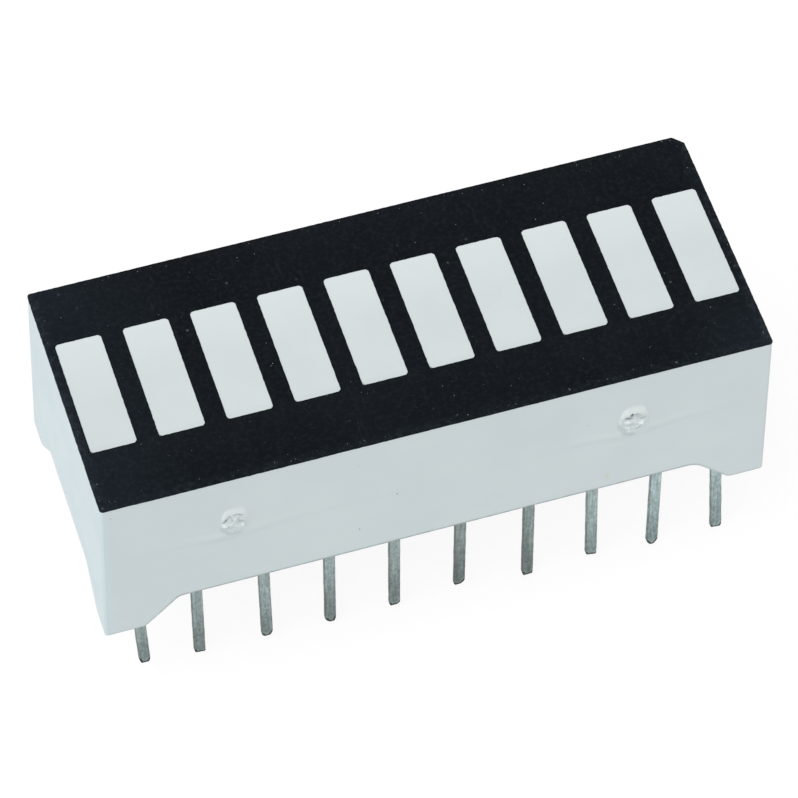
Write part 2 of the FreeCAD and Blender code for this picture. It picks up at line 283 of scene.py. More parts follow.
def moulded_white():
    """White glass-filled plastic with flow marks, a knit line, specks, stains and torn gates, and
    painted light and shade.
    """
    tree = Tree("moulded_white")
    x, y, z = tree.axes()
    clouds = tree.noise(3.5, 3.0)
    flow = tree.noise(0.9, stretch=(9, 1, 1), distortion=0.4)
    tree.shades(clouds, (0.641, 0.724, 0.739), (0.664, 0.743, 0.756))
    tree.tint(tree.ramp(flow, 0.35, 0.75, 0.0, 0.35), (0.647, 0.713, 0.733))
    # Painted light: the left end wall made paler and bluer than the rest
    lit_left_end = tree.ramp(x, -12.3, -12.6, 0.0, 0.5)
    tree.tint(lit_left_end, (0.62, 0.765, 0.81))

    # Knit line along the front wall, a swell over a thin crease, clearest near the gates: painted
    # shade in the crease and a painted highlight on the swell, over their relief
    wander = tree.times(tree.noise(3.0, 1.0, stretch=(1, 1, 50)), 0.3)
    above = tree.math("SUBTRACT", z, tree.math("ADD", wander, 4.27))
    strength = tree.ramp(tree.noise(1.6, stretch=(1, 1, 50)), 0.25, 0.75, 0.35, 1.0)
    reach = 0.12
    for gate, spread in zip(GATES, (3.4, 3.8)):
        off = tree.off(x, gate.x / MM)
        above = tree.math("ADD", above, tree.ramp(off, 0.0, 2.2, 0.27, 0.0))
        reach = tree.math("ADD", reach, tree.ramp(off, 0.8, spread, 0.88, 0.0))
    strength = tree.times(strength, reach, tree.ramp(y, -4.9, -5.0))
    crease = tree.ramp(tree.math("ABSOLUTE", above), 0.0, 0.2, 1.0, 0.0)
    swell = tree.ramp(tree.off(above, 0.34), 0.0, 0.27, 1.0, 0.0)
    tree.tint(tree.times(crease, strength, 0.26), (0.5, 0.58, 0.6))
    tree.tint(tree.times(swell, strength, 0.22), (0.8, 0.87, 0.88))

    # Dark specks all through the resin and on the front wall, and that wall's yellowish stains
    speck = tree.dots(0.9, 0.02, 0.05, 0.93, 0.94, 0.45)
    tree.tint(speck, (0.28, 0.3, 0.29))
    for at_x, at_z, level in SPECKS:
        mark = tree.blob((at_x, -5.12, at_z), (0.055, 0.2, 0.07), level)
        tree.tint(mark, (0.2, 0.22, 0.22))
    for at_x, at_z, half_x, half_z, level in STAINS:
        stain = tree.blob((at_x, -5.13, at_z), (half_x, 0.25, half_z), level)
        patches = tree.ramp(tree.noise(0.12), 0.3, 0.7, 0.2, 1.0)
        tree.tint(tree.times(stain, patches), (0.62, 0.63, 0.4))

    # Torn plastic at the gates: white where it stretched, partly painted highlight, and painted shade
    # down in its slits and along its rims
    tree.tint(tree.attribute("whitened_and_lit"), (0.9, 0.93, 0.93))
    tree.tint(tree.attribute("gate_shade"), (0.15, 0.18, 0.19))

    # Painted shade along the lower edges, where their rounds face down
    patches = tree.ramp(tree.noise(0.3), 0.3, 0.7, 0.6, 1.0)
    painted_rim_shade = tree.times(tree.attribute("lower_rim_shade"), patches)
    tree.tint(painted_rim_shade, (0.27, 0.32, 0.33))

    roughness = tree.ramp(tree.noise(1.2, 3.0), 0.25, 0.75, 0.36, 0.5)
    tree.bump(tree.noise(0.07, 3.0, 0.6), 0.002)
    tree.bump(tree.noise(0.6), 0.006)
    ridge = tree.times(tree.math("SUBTRACT", swell, crease), strength)
    tree.bump(ridge, 0.01)
    return tree.surface(roughness, IOR=1.5)


def black_ink():
    """Matt black printed film with a fine grain, thin scuffs and specks, and painted sheen on its
    ends and edges.
    """
    tree = Tree("black_ink")
    x, y = tree.axes()[:2]
    clouds = tree.noise(4.0, 3.0)
    mottle = tree.noise(0.16, 3.0, 0.65)
    tree.shades(clouds, (0.0008, 0.0026, 0.0046), (0.0022, 0.0044, 0.007))
    tree.tint(tree.ramp(mottle, 0.42, 0.72, 0.0, 0.75), (0.008, 0.0118, 0.0156))
    for size, level in ((0.2, 0.3), (0.5, 0.55)):
        speck = tree.dots(size, 0.04, 0.16, 0.8, 1.0, level)
        tree.tint(speck, (0.12, 0.13, 0.135))
    scuff = tree.noise(0.2, stretch=(1, 14, 1), distortion=1.2)
    tree.tint(tree.ramp(scuff, 0.66, 0.8, 0.0, 0.16), (0.05, 0.056, 0.06))

    # Painted sheen on the left end and the front right corner
    lit_left_end = tree.ramp(x, -7.5, -12.0)
    sheen_right_corner = tree.times(tree.ramp(x, 8.5, 12.0), tree.ramp(y, -1.5, -4.5))
    painted_sheen = tree.times(tree.math("ADD", lit_left_end, sheen_right_corner), 0.04)
    tree.tint(painted_sheen, (0.08, 0.115, 0.17))

    # Painted sheen in pale patches along both ends and the front edge
    sides = tree.ramp(tree.math("ABSOLUTE", x), 12.2, 12.6, 0.0, 0.17)
    front = tree.ramp(y, -4.7, -5.0, 0.0, 0.09)
    patches = tree.ramp(tree.noise(0.22, 3.0, 0.65), 0.45, 0.66, 0.15, 1.0)
    edge_sheen = tree.times(patches, tree.math("MAXIMUM", sides, front))
    tree.tint(edge_sheen, (0.085, 0.11, 0.135))

    roughness = tree.ramp(tree.noise(0.8, 3.0), 0.25, 0.75, 0.42, 0.62)
    tree.bump(tree.noise(0.05, 3.0, 0.6), 0.003)
    tree.bump(tree.noise(0.9), 0.006)
    return tree.surface(roughness, Specular_IOR_Level=0.07)


def diffused_resin():
    """Milky resin of the segments, satin on top, with a faint cloud and a drawn-in rim."""
    tree = Tree("diffused_resin")
    y = tree.axes()[1]
    tree.shades(tree.noise(1.8, 3.0), (0.652, 0.714, 0.729), (0.674, 0.733, 0.747))
    # Painted light: each segment lighter towards its rear
    rear = tree.ramp(y, -0.2, 2.4, 0.0, 0.8)
    tree.tint(rear, (0.712, 0.772, 0.788))
    speck = tree.dots(0.7, 0.02, 0.06, 0.9, 0.92, 0.25)
    tree.tint(speck, (0.42, 0.44, 0.44))
    roughness = tree.ramp(tree.noise(0.7), 0.25, 0.75, 0.32, 0.44)
    tree.bump(tree.noise(0.06, 3.0, 0.6), 0.0015)
    tree.bump(tree.noise(1.1), 0.012)
    rim = tree.ramp(tree.math("ABSOLUTE", y), 2.25, 2.54)
    tree.bump(rim, 0.03)
    return tree.surface(roughness, IOR=1.53)


def dull_tin():
    """Tin dipped on a stamped lead frame: mottled and drawn, with painted shade towards the cut tips
    and on the sides, and a painted highlight just above the cut.
    """
    tree = Tree("dull_tin")
    above_cut = tree.attribute("above_cut")
    mottle = tree.noise(0.11, 3.0, 0.65, stretch=(1, 1, 1.8))
    drawn = tree.noise(0.06, stretch=(1, 1, 16))
    tree.colour = tree.mix(tree.attribute("cast"), (0.18, 0.219, 0.206), (0.38, 0.482, 0.486))
    stain = tree.ramp(tree.noise(0.5, stretch=(1, 1, 2)), 0.55, 0.75, 0.0, 0.35)
    tree.tint(stain, (0.24, 0.25, 0.19))
    # Painted shade: darker towards the tips, on the sides and close above the cut
    factor = tree.times(
        tree.ramp(tree.attribute("along"), 0.25, 1.0, 1.1, 0.62),
        tree.ramp(mottle, 0.3, 0.72, 1.14, 0.84),
        tree.ramp(drawn, 0.35, 0.68, 0.85, 1.15),
        tree.ramp(tree.attribute("side_shade"), 0.0, 1.0, 1.0, 0.55),
        tree.ramp(above_cut, 0.075, 0.125, 0.22, 1.0),
    )
    # Painted highlight: a thin bright line just above the cut
    tip_highlight = tree.ramp(tree.off(above_cut, 0.155), 0.0, 0.035, 0.3, 0.0)
    factor = tree.math("ADD", factor, tip_highlight)
    for size, share, level in ((0.15, 0.8, -0.45), (0.19, 0.9, 0.45)):
        speck = tree.dots(size, 0.1, 0.26, share, share + 0.02, level)
        factor = tree.math("ADD", factor, speck)
    roughness = tree.ramp(mottle, 0.3, 0.7, 0.34, 0.58)
    tree.bump(mottle, 0.006)
    tree.bump(tree.noise(0.35), 0.012)
    tree.colour = tree.scaled(tree.colour, factor)
    return tree.surface(roughness, Metallic=0.8)


def potting_resin():
    """Cloudy off-white resin poured into the back, glossy, with pinholes and drifts."""
    tree = Tree("potting_resin")
    clouds = tree.noise(2.0, 4.0, distortion=0.8)
    tree.shades(clouds, (0.6, 0.62, 0.58), (0.7, 0.73, 0.7))
    hole = tree.dots(0.6, 0.05, 0.13, 0.86, 0.88)
    # Painted shade in the pinholes
    tree.tint(tree.times(hole, 0.5), (0.38, 0.39, 0.36))
    roughness = tree.ramp(tree.noise(1.0), 0.25, 0.75, 0.16, 0.34)
    tree.bump(tree.noise(1.3), 0.03)
    tree.bump(tree.math("SUBTRACT", 1.0, hole), 0.02)
    return tree.surface(roughness, IOR=1.55)


def board_laminate():
    """Woven glass laminate under a thin resin skin."""
    tree = Tree("board_laminate")
    x, y = tree.axes()[:2]
    pitch = 2 * math.pi / 0.4
    warp = tree.math("SINE", tree.times(x, pitch))
    weft = tree.math("SINE", tree.times(y, pitch))
    weave = tree.ramp(tree.times(warp, weft), -1.0, 1.0)
    tree.colour = tree.mix(weave, (0.42, 0.44, 0.24), (0.52, 0.53, 0.32))
    tree.tint(tree.ramp(tree.noise(1.5), 0.3, 0.7, 0.0, 0.4), (0.47, 0.45, 0.26))
    roughness = tree.ramp(weave, 0.0, 1.0, 0.42, 0.55)
    tree.bump(weave, 0.006)
    return tree.surface(roughness, IOR=1.5)


def etched_copper():
    """Copper track with a stained, finely brushed surface."""
    tree = Tree("etched_copper")
    stain = tree.noise(0.6, 3.0)
    brushed = tree.noise(0.06, stretch=(10, 1, 1))
    tree.shades(stain, (0.72, 0.36, 0.21), (0.58, 0.26, 0.15))
    roughness = tree.ramp(brushed, 0.3, 0.7, 0.25, 0.42)
    tree.bump(brushed, 0.002)
    return tree.surface(roughness, Metallic=1.0)


def reflowed_solder():
    """Bright solder with a faint crystalline mottle."""
    tree = Tree("reflowed_solder")
    grain = tree.noise(0.08, 3.0)
    tree.shades(grain, (0.5, 0.52, 0.53), (0.64, 0.66, 0.67))
    roughness = tree.ramp(tree.noise(0.3), 0.3, 0.7, 0.18, 0.34)
    tree.bump(grain, 0.004)
    return tree.surface(roughness, Metallic=1.0)


def chip_crystal():
    """Sawn semiconductor chip with lapped marks on its sides."""
    tree = Tree("chip_crystal")
    saw = tree.noise(0.02, stretch=(8, 8, 1))
    tree.shades(saw, (0.1, 0.075, 0.05), (0.19, 0.14, 0.09))
    roughness = tree.ramp(saw, 0.3, 0.7, 0.2, 0.4)
    tree.bump(saw, 0.001)
    return tree.surface(roughness, Metallic=0.4)


def drawn_gold():
    """Drawn gold wire with lengthwise die marks."""
    tree = Tree("drawn_gold")
    marks = tree.noise(0.01, stretch=(1, 8, 8))
    tree.shades(marks, (0.86, 0.6, 0.25), (0.95, 0.71, 0.34))
    roughness = tree.ramp(marks, 0.3, 0.7, 0.18, 0.3)
    tree.bump(marks, 0.0005)
    return tree.surface(roughness, Metallic=1.0)


def pale_dust():
    """Crumbs of dust, some paler than others."""
    tree = Tree("pale_dust")
    tone = tree.noise(0.3, 1.0)
    tree.colour = tree.mix(tree.ramp(tone, 0.35, 0.65), (0.12, 0.125, 0.12), (0.42, 0.43, 0.42))
    roughness = tree.ramp(tone, 0.3, 0.7, 0.8, 0.95)
    tree.bump(tree.noise(0.02), 0.003)
    return tree.surface(roughness)


def paint(piece, material):
    """Gives a piece or a frame node one material."""
    piece.data.materials.clear()
    piece.data.materials.append(material)


def built(name, mesh, material):
    """Turns a bmesh into an object of one material."""
    data = bpy.data.meshes.new(name)
    mesh.to_mesh(data)
    mesh.free()
    thing = bpy.data.objects.new(name, data)
    bpy.context.scene.collection.objects.link(thing)
    paint(thing, material)
    return thing


def new_piece(name, mesh, material, sharp_degrees, replaced=()):
    """A piece that rides on the body, shaded smooth but for edges sharper than an angle."""
    bmesh.ops.recalc_face_normals(mesh, faces=mesh.faces)
    piece = built(name, mesh, material)
    piece.data.shade_smooth()
    piece.data.set_sharp_from_angle(angle=math.radians(sharp_degrees))
    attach(piece, BODY)
    if replaced:
        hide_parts(*replaced)
    return piece


def bridge(mesh, lower, upper):
    """Faces between two closed rings with as many vertices each."""
    for i in range(len(lower)):
        after = (i + 1) % len(lower)
        mesh.faces.new((lower[i], lower[after], upper[after], upper[i]))


def corner_arc(centre, radius, corner, steps):
    """Points and outward directions round a corner with this place in CORNERS."""
    found = []
    for step in range(steps + 1):
        angle = math.pi / 2 * (corner - 1 + step / steps)
        outward = Vector((math.cos(angle), math.sin(angle)))
        found.append((centre + outward * radius, outward))
    return found


def filled_out(loop):
    """A closed loop of (point, direction) with further ones put in along its long runs."""
    found = []
    for i, (point, outward) in enumerate(loop):
        next_point, next_outward = loop[(i + 1) % len(loop)]
        run = (next_point - point).length
        parts = max(1, round(run / OUTLINE_STEP))
        found.append((point, outward))
        for part in range(1, parts):
            share = part / parts
            direction = outward if share < 0.5 else next_outward
            if (outward - next_outward).length > 0.01:
                edge = next_point - point
                direction = Vector((edge.y, -edge.x)).normalized()
            found.append((point.lerp(next_point, share), direction))
    return found


def face_loop():
    """The black face's outline: three rounded corners and the chamfer at the index corner."""
    inner_x = face_high.x - FACE_CORNER_RADIUS
    inner_y = face_high.y - FACE_CORNER_RADIUS
    steps = 6
    loop = corner_arc(Vector((inner_x, -inner_y)), FACE_CORNER_RADIUS, 0, steps)
    mitre = 1 / math.cos(math.pi / 8)
    for point, angle in (
        (Vector((face_high.x, face_high.y - INDEX_CHAMFER)), math.pi / 8),
        (Vector((face_high.x - INDEX_CHAMFER, face_high.y)), 3 * math.pi / 8),
    ):
        loop.append((point, Vector((math.cos(angle), math.sin(angle))) * mitre))
    loop += corner_arc(Vector((-inner_x, inner_y)), FACE_CORNER_RADIUS, 2, steps)
    loop += corner_arc(Vector((-inner_x, -inner_y)), FACE_CORNER_RADIUS, 3, steps)
    return filled_out(loop)


def window_loop(low, high):
    """Outline of one window, from the box of the segment that fills it."""
    middle = (low + high) / 2
    half = (high - low) / 2
    loop = []
    for corner, (sx, sy) in enumerate(CORNERS):
        radius = WINDOW_RADII[corner]
        inner = Vector((sx * (half.x - radius), sy * (half.y - radius)))
        loop += corner_arc(middle.xy + inner, radius, corner, 8)
    return filled_out(loop)


def ring(mesh, loop, outset, height):
    """Vertices of a loop moved outward and set at a height, each given by a function."""
    made = []
    for point, outward in loop:
        x, y = point + outward * outset(point)
        made.append(mesh.verts.new((x, y, height(point))))
    return made


def steady(value):
    """A function that gives the same value everywhere along a loop."""
    return lambda point: value


def wobble(point, size, seed):
    """Smooth noise from -1 to 1 at a point of the face's plane."""
    return noise.noise(Vector((point.x / size, point.y / size, seed)))


def fill_between(mesh, outer, holes, plane="xy"):
    """Triangles over the flat region between an outer ring and the rings of its holes."""
    rings = [outer] + holes
    verts = [vert for one in rings for vert in one]
    owners = [number for number, one in enumerate(rings) for vert in one]
    edges = []
    start = 0
    for one in rings:
        edges += [(start + i, start + (i + 1) % len(one)) for i in range(len(one))]
        start += len(one)
    inside_only = 1
    points = [getattr(vert.co, plane) for vert in verts]
    result = delaunay_2d_cdt(points, edges, [], inside_only, 1e-9)
    origins = result[3]
    for face in result[2]:
        corners = [origins[i][0] for i in face]
        met = {owners[corner] for corner in corners}
        if met == {0} or len(met) > 1:
            mesh.faces.new([verts[corner] for corner in corners])


def printed_coat(material):
    """The black film: lapped over the housing's edge with a wavy border, and open at the windows."""
    mesh = bmesh.new()
    outline = face_loop()

    def border(point):
        return COAT_PROUD + COAT_RAGGED * wobble(point, 0.15 * MM, 5.0)

    def lap(point):
        broad = 0.5 + 0.5 * wobble(point, 1.6 * MM, 3.0)
        fine = 0.5 + 0.5 * wobble(point, 0.25 * MM, 7.0)
        return HOUSING_TOP - (0.012 + 0.045 * broad * broad + 0.022 * fine) * MM

    rings = [
        ring(mesh, outline, steady(-0.02 * MM), steady(HOUSING_TOP)),
        ring(mesh, outline, steady(-0.02 * MM), lap),
        ring(mesh, outline, lambda point: border(point) * 0.4, lap),
        ring(mesh, outline, border, lambda point: lap(point) + 0.015 * MM),
    ]
    steps = 4
    for step in range(steps + 1):
        angle = math.pi / 2 * step / steps
        inset = COAT_SHOULDER * (1 - math.cos(angle))
        rise = FACE_TOP - COAT_SHOULDER * (1 - math.sin(angle))
        rings.append(ring(mesh, outline, lambda point: border(point) - inset, steady(rise)))
    for lower, upper in zip(rings, rings[1:]):
        bridge(mesh, lower, upper)

    tops = []
    bottoms = []
    for number, (low, high) in enumerate(WINDOWS, 1):
        loop = window_loop(low, high)

        def lip(point):
            return -(LIP_REACH + LIP_RAGGED * wobble(point, 0.16 * MM, 11.0 + number))

        levels = [
            ring(mesh, loop, lambda point: lip(point) + back * MM, steady(FACE_TOP - down * MM))
            for back, down in LIP_SECTION
        ]
        levels.append(ring(mesh, loop, steady(LIP_FOOT), steady(HOUSING_TOP)))
        for upper, lower in zip(levels, levels[1:]):
            bridge(mesh, upper, lower)
        tops.append(levels[0])
        bottoms.append(levels[-1])
    fill_between(mesh, rings[-1], tops)
    fill_between(mesh, rings[0], bottoms)
    new_piece("printed_face_coat", mesh, material, 50, ["black_face_coat"])


def is_outside(point):
    """Whether a point is on the housing's outer walls."""
    return abs(point.x) > face_high.x - 0.05 * MM or abs(point.y) > face_high.y - 0.05 * MM


def wall_y(z):
    """Y of the drafted front wall at a height."""
    share = (z - housing_low.z) / (HOUSING_TOP - housing_low.z)
    return housing_low.y + share * (face_low.y - housing_low.y)


def near_gate(point):
    """Whether a point of the housing is on one of the broken gates."""
    if point.y > -5.0 * MM:
        return False
    for gate, half in zip(GATES, GATE_HALF_SIZES):
        across = (point.x - gate.x) / half.x
        up = (point.z - gate.y) / half.y
        if math.hypot(across, up) < GATE_MARGIN + 0.01:
            return True
    return False


# One feature of a torn gate: its place from the gate's middle, half sizes, turn in degrees,
# relief, and tone: how white it is, partly stress whitening and partly painted highlight, or where
# negative, how dark its painted shade is, in slits and along rims. Millimetres, and the left gate
# first.
Tear = namedtuple("Tear", "across up half_width half_height turn relief tone")
TEAR_ROWS = (
    (
        (-0.37, 0.09, 0.12, 0.04, 50, -0.14, -0.85),
        (-0.22, 0.27, 0.08, 0.04, 60, -0.05, -0.2),
        (0, 0.37, 0.12, 0.04, 5, -0.05, -0.26),
        (0.19, 0.29, 0.09, 0.045, -30, -0.05, -0.3),
        (0.01, 0.14, 0.11, 0.17, 20, 0.05, 0.16),
        (-0.12, 0.1, 0.04, 0.14, 15, -0.03, -0.18),
        (0.12, 0.06, 0.03, 0.12, 25, -0.03, -0.16),
        (0.22, -0.14, 0.17, 0.035, -20, -0.06, -0.26),
        (0.41, 0.22, 0.07, 0.26, 22, 0.03, 0.42),
        (-0.41, -0.13, 0.1, 0.09, 30, 0.09, 0.75),
        (-0.18, -0.18, 0.14, 0.13, 0, 0.05, 0.22),
        (0.29, -0.34, 0.07, 0.14, 15, 0.07, 0.62),
        (0.05, -0.32, 0.17, 0.07, -25, 0.05, 0.36),
        (-0.22, -0.37, 0.1, 0.035, 0, -0.04, -0.2),
        (-0.2, -0.53, 0.17, 0.07, -5, 0.03, 0.26),
        (0.08, -0.66, 0.2, 0.08, 10, 0.01, -0.1),
        (-0.4, -0.54, 0.3, 0.11, -52, 0, -0.2),
        (-0.1, -0.8, 0.36, 0.1, -8, 0, -0.18),
    ),
    (
        (-0.09, 0.28, 0.05, 0.1, 5, -0.16, -0.95),
        (-0.21, 0.12, 0.15, 0.045, -20, -0.1, -0.62),
        (0.08, 0.25, 0.12, 0.06, -10, -0.05, -0.3),
        (0.2, 0.12, 0.1, 0.06, -15, -0.03, -0.16),
        (0.34, -0.01, 0.1, 0.035, -8, -0.07, -0.36),
        (0.44, 0.3, 0.07, 0.24, 18, 0.03, 0.5),
        (-0.24, 0.46, 0.12, 0.11, 70, 0.03, 0.2),
        (-0.23, -0.05, 0.15, 0.065, -5, 0.08, 0.62),
        (0.27, -0.21, 0.16, 0.11, -10, 0.09, 0.85),
        (0.03, -0.08, 0.11, 0.16, 0, 0.04, 0.2),
        (-0.26, -0.38, 0.11, 0.065, -20, 0.05, 0.55),
        (-0.08, -0.26, 0.13, 0.04, 20, -0.04, -0.16),
        (0.06, -0.42, 0.16, 0.05, 12, 0.04, 0.3),
        (0.14, -0.53, 0.17, 0.035, -10, -0.04, -0.22),
        (-0.1, -0.58, 0.17, 0.045, 8, 0.03, 0.28),
        (0.1, -0.7, 0.17, 0.045, -6, 0.02, 0.1),
        (-0.46, -0.44, 0.34, 0.1, -65, 0, -0.2),
        (-0.2, -0.84, 0.28, 0.12, -20, 0, -0.22),
    ),
)
TEARS = [[Tear(*row) for row in rows] for rows in TEAR_ROWS]


def smooth_step(value):
    """0 below 0, 1 above 1 and a smooth rise between them."""
    held = min(max(value, 0.0), 1.0)
    return held * held * (3 - 2 * held)


def tear_share(tear, across, up):
    """1 in the middle of a tear, fading to 0 round it."""
    turn = math.radians(tear.turn)
    off_x = across - tear.across
    off_z = up - tear.up
    along = (off_x * math.cos(turn) + off_z * math.sin(turn)) / tear.half_width
    over = (off_z * math.cos(turn) - off_x * math.sin(turn)) / tear.half_height
    return math.exp(-(along * along + over * over) ** 1.4)


def torn_gate(index, across, up):
    """Relief, whitening and painted shade of a broken gate: a smooth lip above, torn plastic below
    it.
    """
    half = GATE_HALF_SIZES[index] / MM
    edge = GATE_EDGE - 0.7 * across * across + 0.04 * noise.noise(Vector((across / 0.15, 3.0, index)))
    over_edge = smooth_step(0.5 + (up - edge) / 0.11)
    lip = GATE_LIP * smooth_step((half.y - up) / (half.y - GATE_EDGE)) * over_edge
    crumbs = noise.turbulence(Vector((across / 0.15, up / 0.09, 2.0 + index)), 3, False)
    fine = noise.noise(Vector((across / 0.05, up / 0.04, 9.0 + index)))
    torn = 1 - over_edge
    relief = lip + torn * (GATE_TORN + 0.04 * crumbs + 0.008 * fine)
    # Whitening: partly stress whitening, partly painted highlight on the lip and on lumps that face
    # up
    whitening_and_light = (0.34 + 0.12 * index) * over_edge * smooth_step((half.y - up) / 0.25)
    whitening_and_light += torn * (0.1 + 0.18 * smooth_step(crumbs))
    bumps = 0.0
    dark = 0.0
    for tear in TEARS[index]:
        amount = tear_share(tear, across, up)
        bumps += tear.relief * amount
        # Positive tones whiten, partly as painted highlight; negative ones are painted shade in slits
        # and along rims
        if tear.tone > 0:
            whitening_and_light = max(whitening_and_light, tear.tone * amount)
        else:
            dark = max(dark, min(-1.5 * tear.tone * amount, -tear.tone))
    reach = math.hypot(across / half.x, up / half.y)
    within = smooth_step((GATE_REACH - reach) / GATE_FADE)
    softer = 0.44 * smooth_step(0.5 + across / half.x)
    soft = smooth_step((GATE_REACH + 0.2 * softer - reach) / (GATE_FADE + softer))
    outside = smooth_step((GATE_MARGIN - reach) / 0.2)
    return (relief + bumps) * soft, min(whitening_and_light, 1.0) * within, dark * outside


def open_gates(mesh):
    """Takes the front wall away with the plain gates on it, and returns the outline it leaves."""
    lean = math.atan((face_low.y - housing_low.y) / HOUSING_TOP)
    outward = Vector((0, -math.cos(lean), math.sin(lean)))

    def is_wall(face):
        middle = face.calc_center_median()
        on_plane = abs(middle.y - wall_y(middle.z)) < 0.002 * MM and face.normal.dot(outward) > 0.9995
        return on_plane or (near_gate(middle) and middle.y < wall_y(middle.z) + 0.002 * MM)

    bmesh.ops.delete(mesh, geom=[face for face in mesh.faces if is_wall(face)], context="FACES")
    ahead = {}
    for edge in mesh.edges:
        if edge.is_boundary:
            for vert in edge.verts:
                ahead.setdefault(vert, []).append(edge.other_vert(vert))
    start = next(iter(ahead))
    loop = [start, ahead[start][0]]
    while loop[-1] is not start:
        first, second = ahead[loop[-1]]
        loop.append(second if first is loop[-2] else first)
    return loop[:-1]


def rimmed(mesh, outline):
    """A narrow strip along the front wall's lower edge, for painted shade, and the outline that it
    leaves above it.
    """
    lower_rim_shade = mesh.verts.layers.float["lower_rim_shade"]
    low = [vert.co.z < RIM_TOP for vert in outline]
    start = next(i for i in range(len(outline)) if low[i] and not low[i - 1])
    turned = outline[start:] + outline[:start]
    edge = turned[:sum(low)]
    rest = turned[sum(low):]

    def above(corner, upper):
        side = mesh.edges.get((corner, upper))
        return bmesh.utils.edge_split(side, corner, RIM_WIDTH / side.calc_length())[1]

    inner = [above(edge[0], rest[-1])]
    for before, vert, after in zip(edge, edge[1:], edge[2:]):
        run = after.co - before.co
        inward = Vector((-run.z, run.x)).normalized()
        inward *= math.copysign(RIM_WIDTH, inward.y)
        z = vert.co.z + inward.y
        inner.append(mesh.verts.new((vert.co.x + inward.x, wall_y(z), z)))
    inner.append(above(edge[-1], rest[0]))
    for i in range(len(edge) - 1):
        mesh.faces.new((edge[i], edge[i + 1], inner[i + 1], inner[i]))
    # Painted shade along the strip's lower edge: full on the arch, lighter on the feet
    for vert in edge:
        full = smooth_step((vert.co.z - RIM_FULL_FROM) / RIM_FADE)
        vert[lower_rim_shade] = RIM_FEET_TONE + (1 - RIM_FEET_TONE) * full
    for vert in inner:
        vert[lower_rim_shade] = 0.0
    return inner + rest


def rebuild_front(mesh):
    """Front wall with its two broken gates, each a fine relief in the wall itself."""
    # The gates' whitening, partly painted highlight, and their painted shade
    whitened_and_lit = mesh.verts.layers.float["whitened_and_lit"]
    gate_shade = mesh.verts.layers.float["gate_shade"]
    outline = rimmed(mesh, open_gates(mesh))
    around = 120
    rings = 52

    def gate_vert(index, share, turn):
        across = share * GATE_MARGIN * GATE_HALF_SIZES[index].x * math.cos(turn) / MM
        up = share * GATE_MARGIN * GATE_HALF_SIZES[index].y * math.sin(turn) / MM
        relief, whitening_and_light, dark = torn_gate(index, across, up)
        z = GATES[index].y + up * MM
        vert = mesh.verts.new((GATES[index].x + across * MM, wall_y(z) - relief * MM, z))
        vert[whitened_and_lit] = whitening_and_light
        vert[gate_shade] = dark
        return vert

    rims = []
    for index in range(len(GATES)):
        middle = gate_vert(index, 0.0, 0.0)
        loops = []
        for step in range(1, rings + 1):
            turns = [2 * math.pi * i / around for i in range(around)]
            loops.append([gate_vert(index, step / rings, turn) for turn in turns])
        for i in range(around):
            mesh.faces.new((middle, loops[0][i], loops[0][(i + 1) % around]))
        for inner, outer in zip(loops, loops[1:]):
            bridge(mesh, inner, outer)
        rims.append(loops[-1])
    fill_between(mesh, outline, rims, "xz")


def softened_housing(material):
    """The white moulding with its edges eased as a mould leaves them."""
    mesh = bmesh.new()
    mesh.from_mesh(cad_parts["reflector_housing"].data)
    layers = mesh.verts.layers.float
    # Layers for the gates' whitening with painted highlight, their painted shade, and painted shade
    # along the lower edges
    layers.new("whitened_and_lit")
    layers.new("gate_shade")
    lower_rim_shade = layers.new("lower_rim_shade")
    bmesh.ops.remove_doubles(mesh, verts=mesh.verts, dist=0.0005 * MM)
    bmesh.ops.dissolve_limit(
        mesh,
        angle_limit=math.radians(0.2),
        verts=mesh.verts,
        edges=mesh.edges,
        use_dissolve_boundaries=False,
    )

    def is_eased(edge):
        if len(edge.link_faces) != 2 or edge.calc_face_angle() < EASED_FROM:
            return False
        middle = (edge.verts[0].co + edge.verts[1].co) / 2
        below_face = middle.z < HOUSING_TOP - EASED_CLEAR
        return middle.z < EASED_BELOW or (below_face and is_outside(middle) and not near_gate(middle))

    eased = [edge for edge in mesh.edges if is_eased(edge)]
    made = bmesh.ops.bevel(
        mesh,
        geom=eased,
        offset=EASED_RADIUS,
        segments=3,
        profile=0.5,
        affect="EDGES",
        clamp_overlap=True,
    )
    mesh.normal_update()
    # Painted shade: the rounds of the outer walls' eased edges that face down are marked to be darker
    rounded = set(made["faces"])
    for vert in made["verts"]:
        inside = all(face in rounded for face in vert.link_faces)
        if inside and is_outside(vert.co) and vert.normal.z < -0.2:
            vert[lower_rim_shade] = 1.0
    rebuild_front(mesh)
    for vert in mesh.verts:
        if vert.co.x < -face_high.x + 0.1 * MM:
            vert.co.x -= LEFT_END_LEAN * (1 - vert.co.z / HOUSING_TOP)
    piece = new_piece("moulded_housing", mesh, material, 30, ["reflector_housing"])
    for edge in piece.data.edges:
        if all(near_gate(piece.data.vertices[i].co) for i in edge.vertices):
            edge.use_edge_sharp = False
    weighted = piece.modifiers.new("even_normals", "WEIGHTED_NORMAL")
    weighted.keep_sharp = True


def pin_levels(name):
    """The levels of a pin's solid, lowest first: height, centre and half sizes."""
    levels = {}
    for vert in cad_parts[name].data.vertices:
        levels.setdefault(round(vert.co.z / MM, 3), []).append(vert.co)
    found = []
    for key, places in sorted(levels.items()):
        low = Vector((min(co.x for co in places), min(co.y for co in places)))
        high = Vector((max(co.x for co in places), max(co.y for co in places)))
        found.append((key * MM, (low + high) / 2, (high - low) / 2))
    return found


def pin_centre(levels, z):
    """Centre of a pin at a height, with its bends eased between the solid's levels."""
    for (low, start, _), (high, end, _) in zip(levels, levels[1:]):
        if z <= high:
            share = min(max((z - low) / (high - low), 0.0), 1.0)
            return start.lerp(end, share)
    return levels[-1][1]


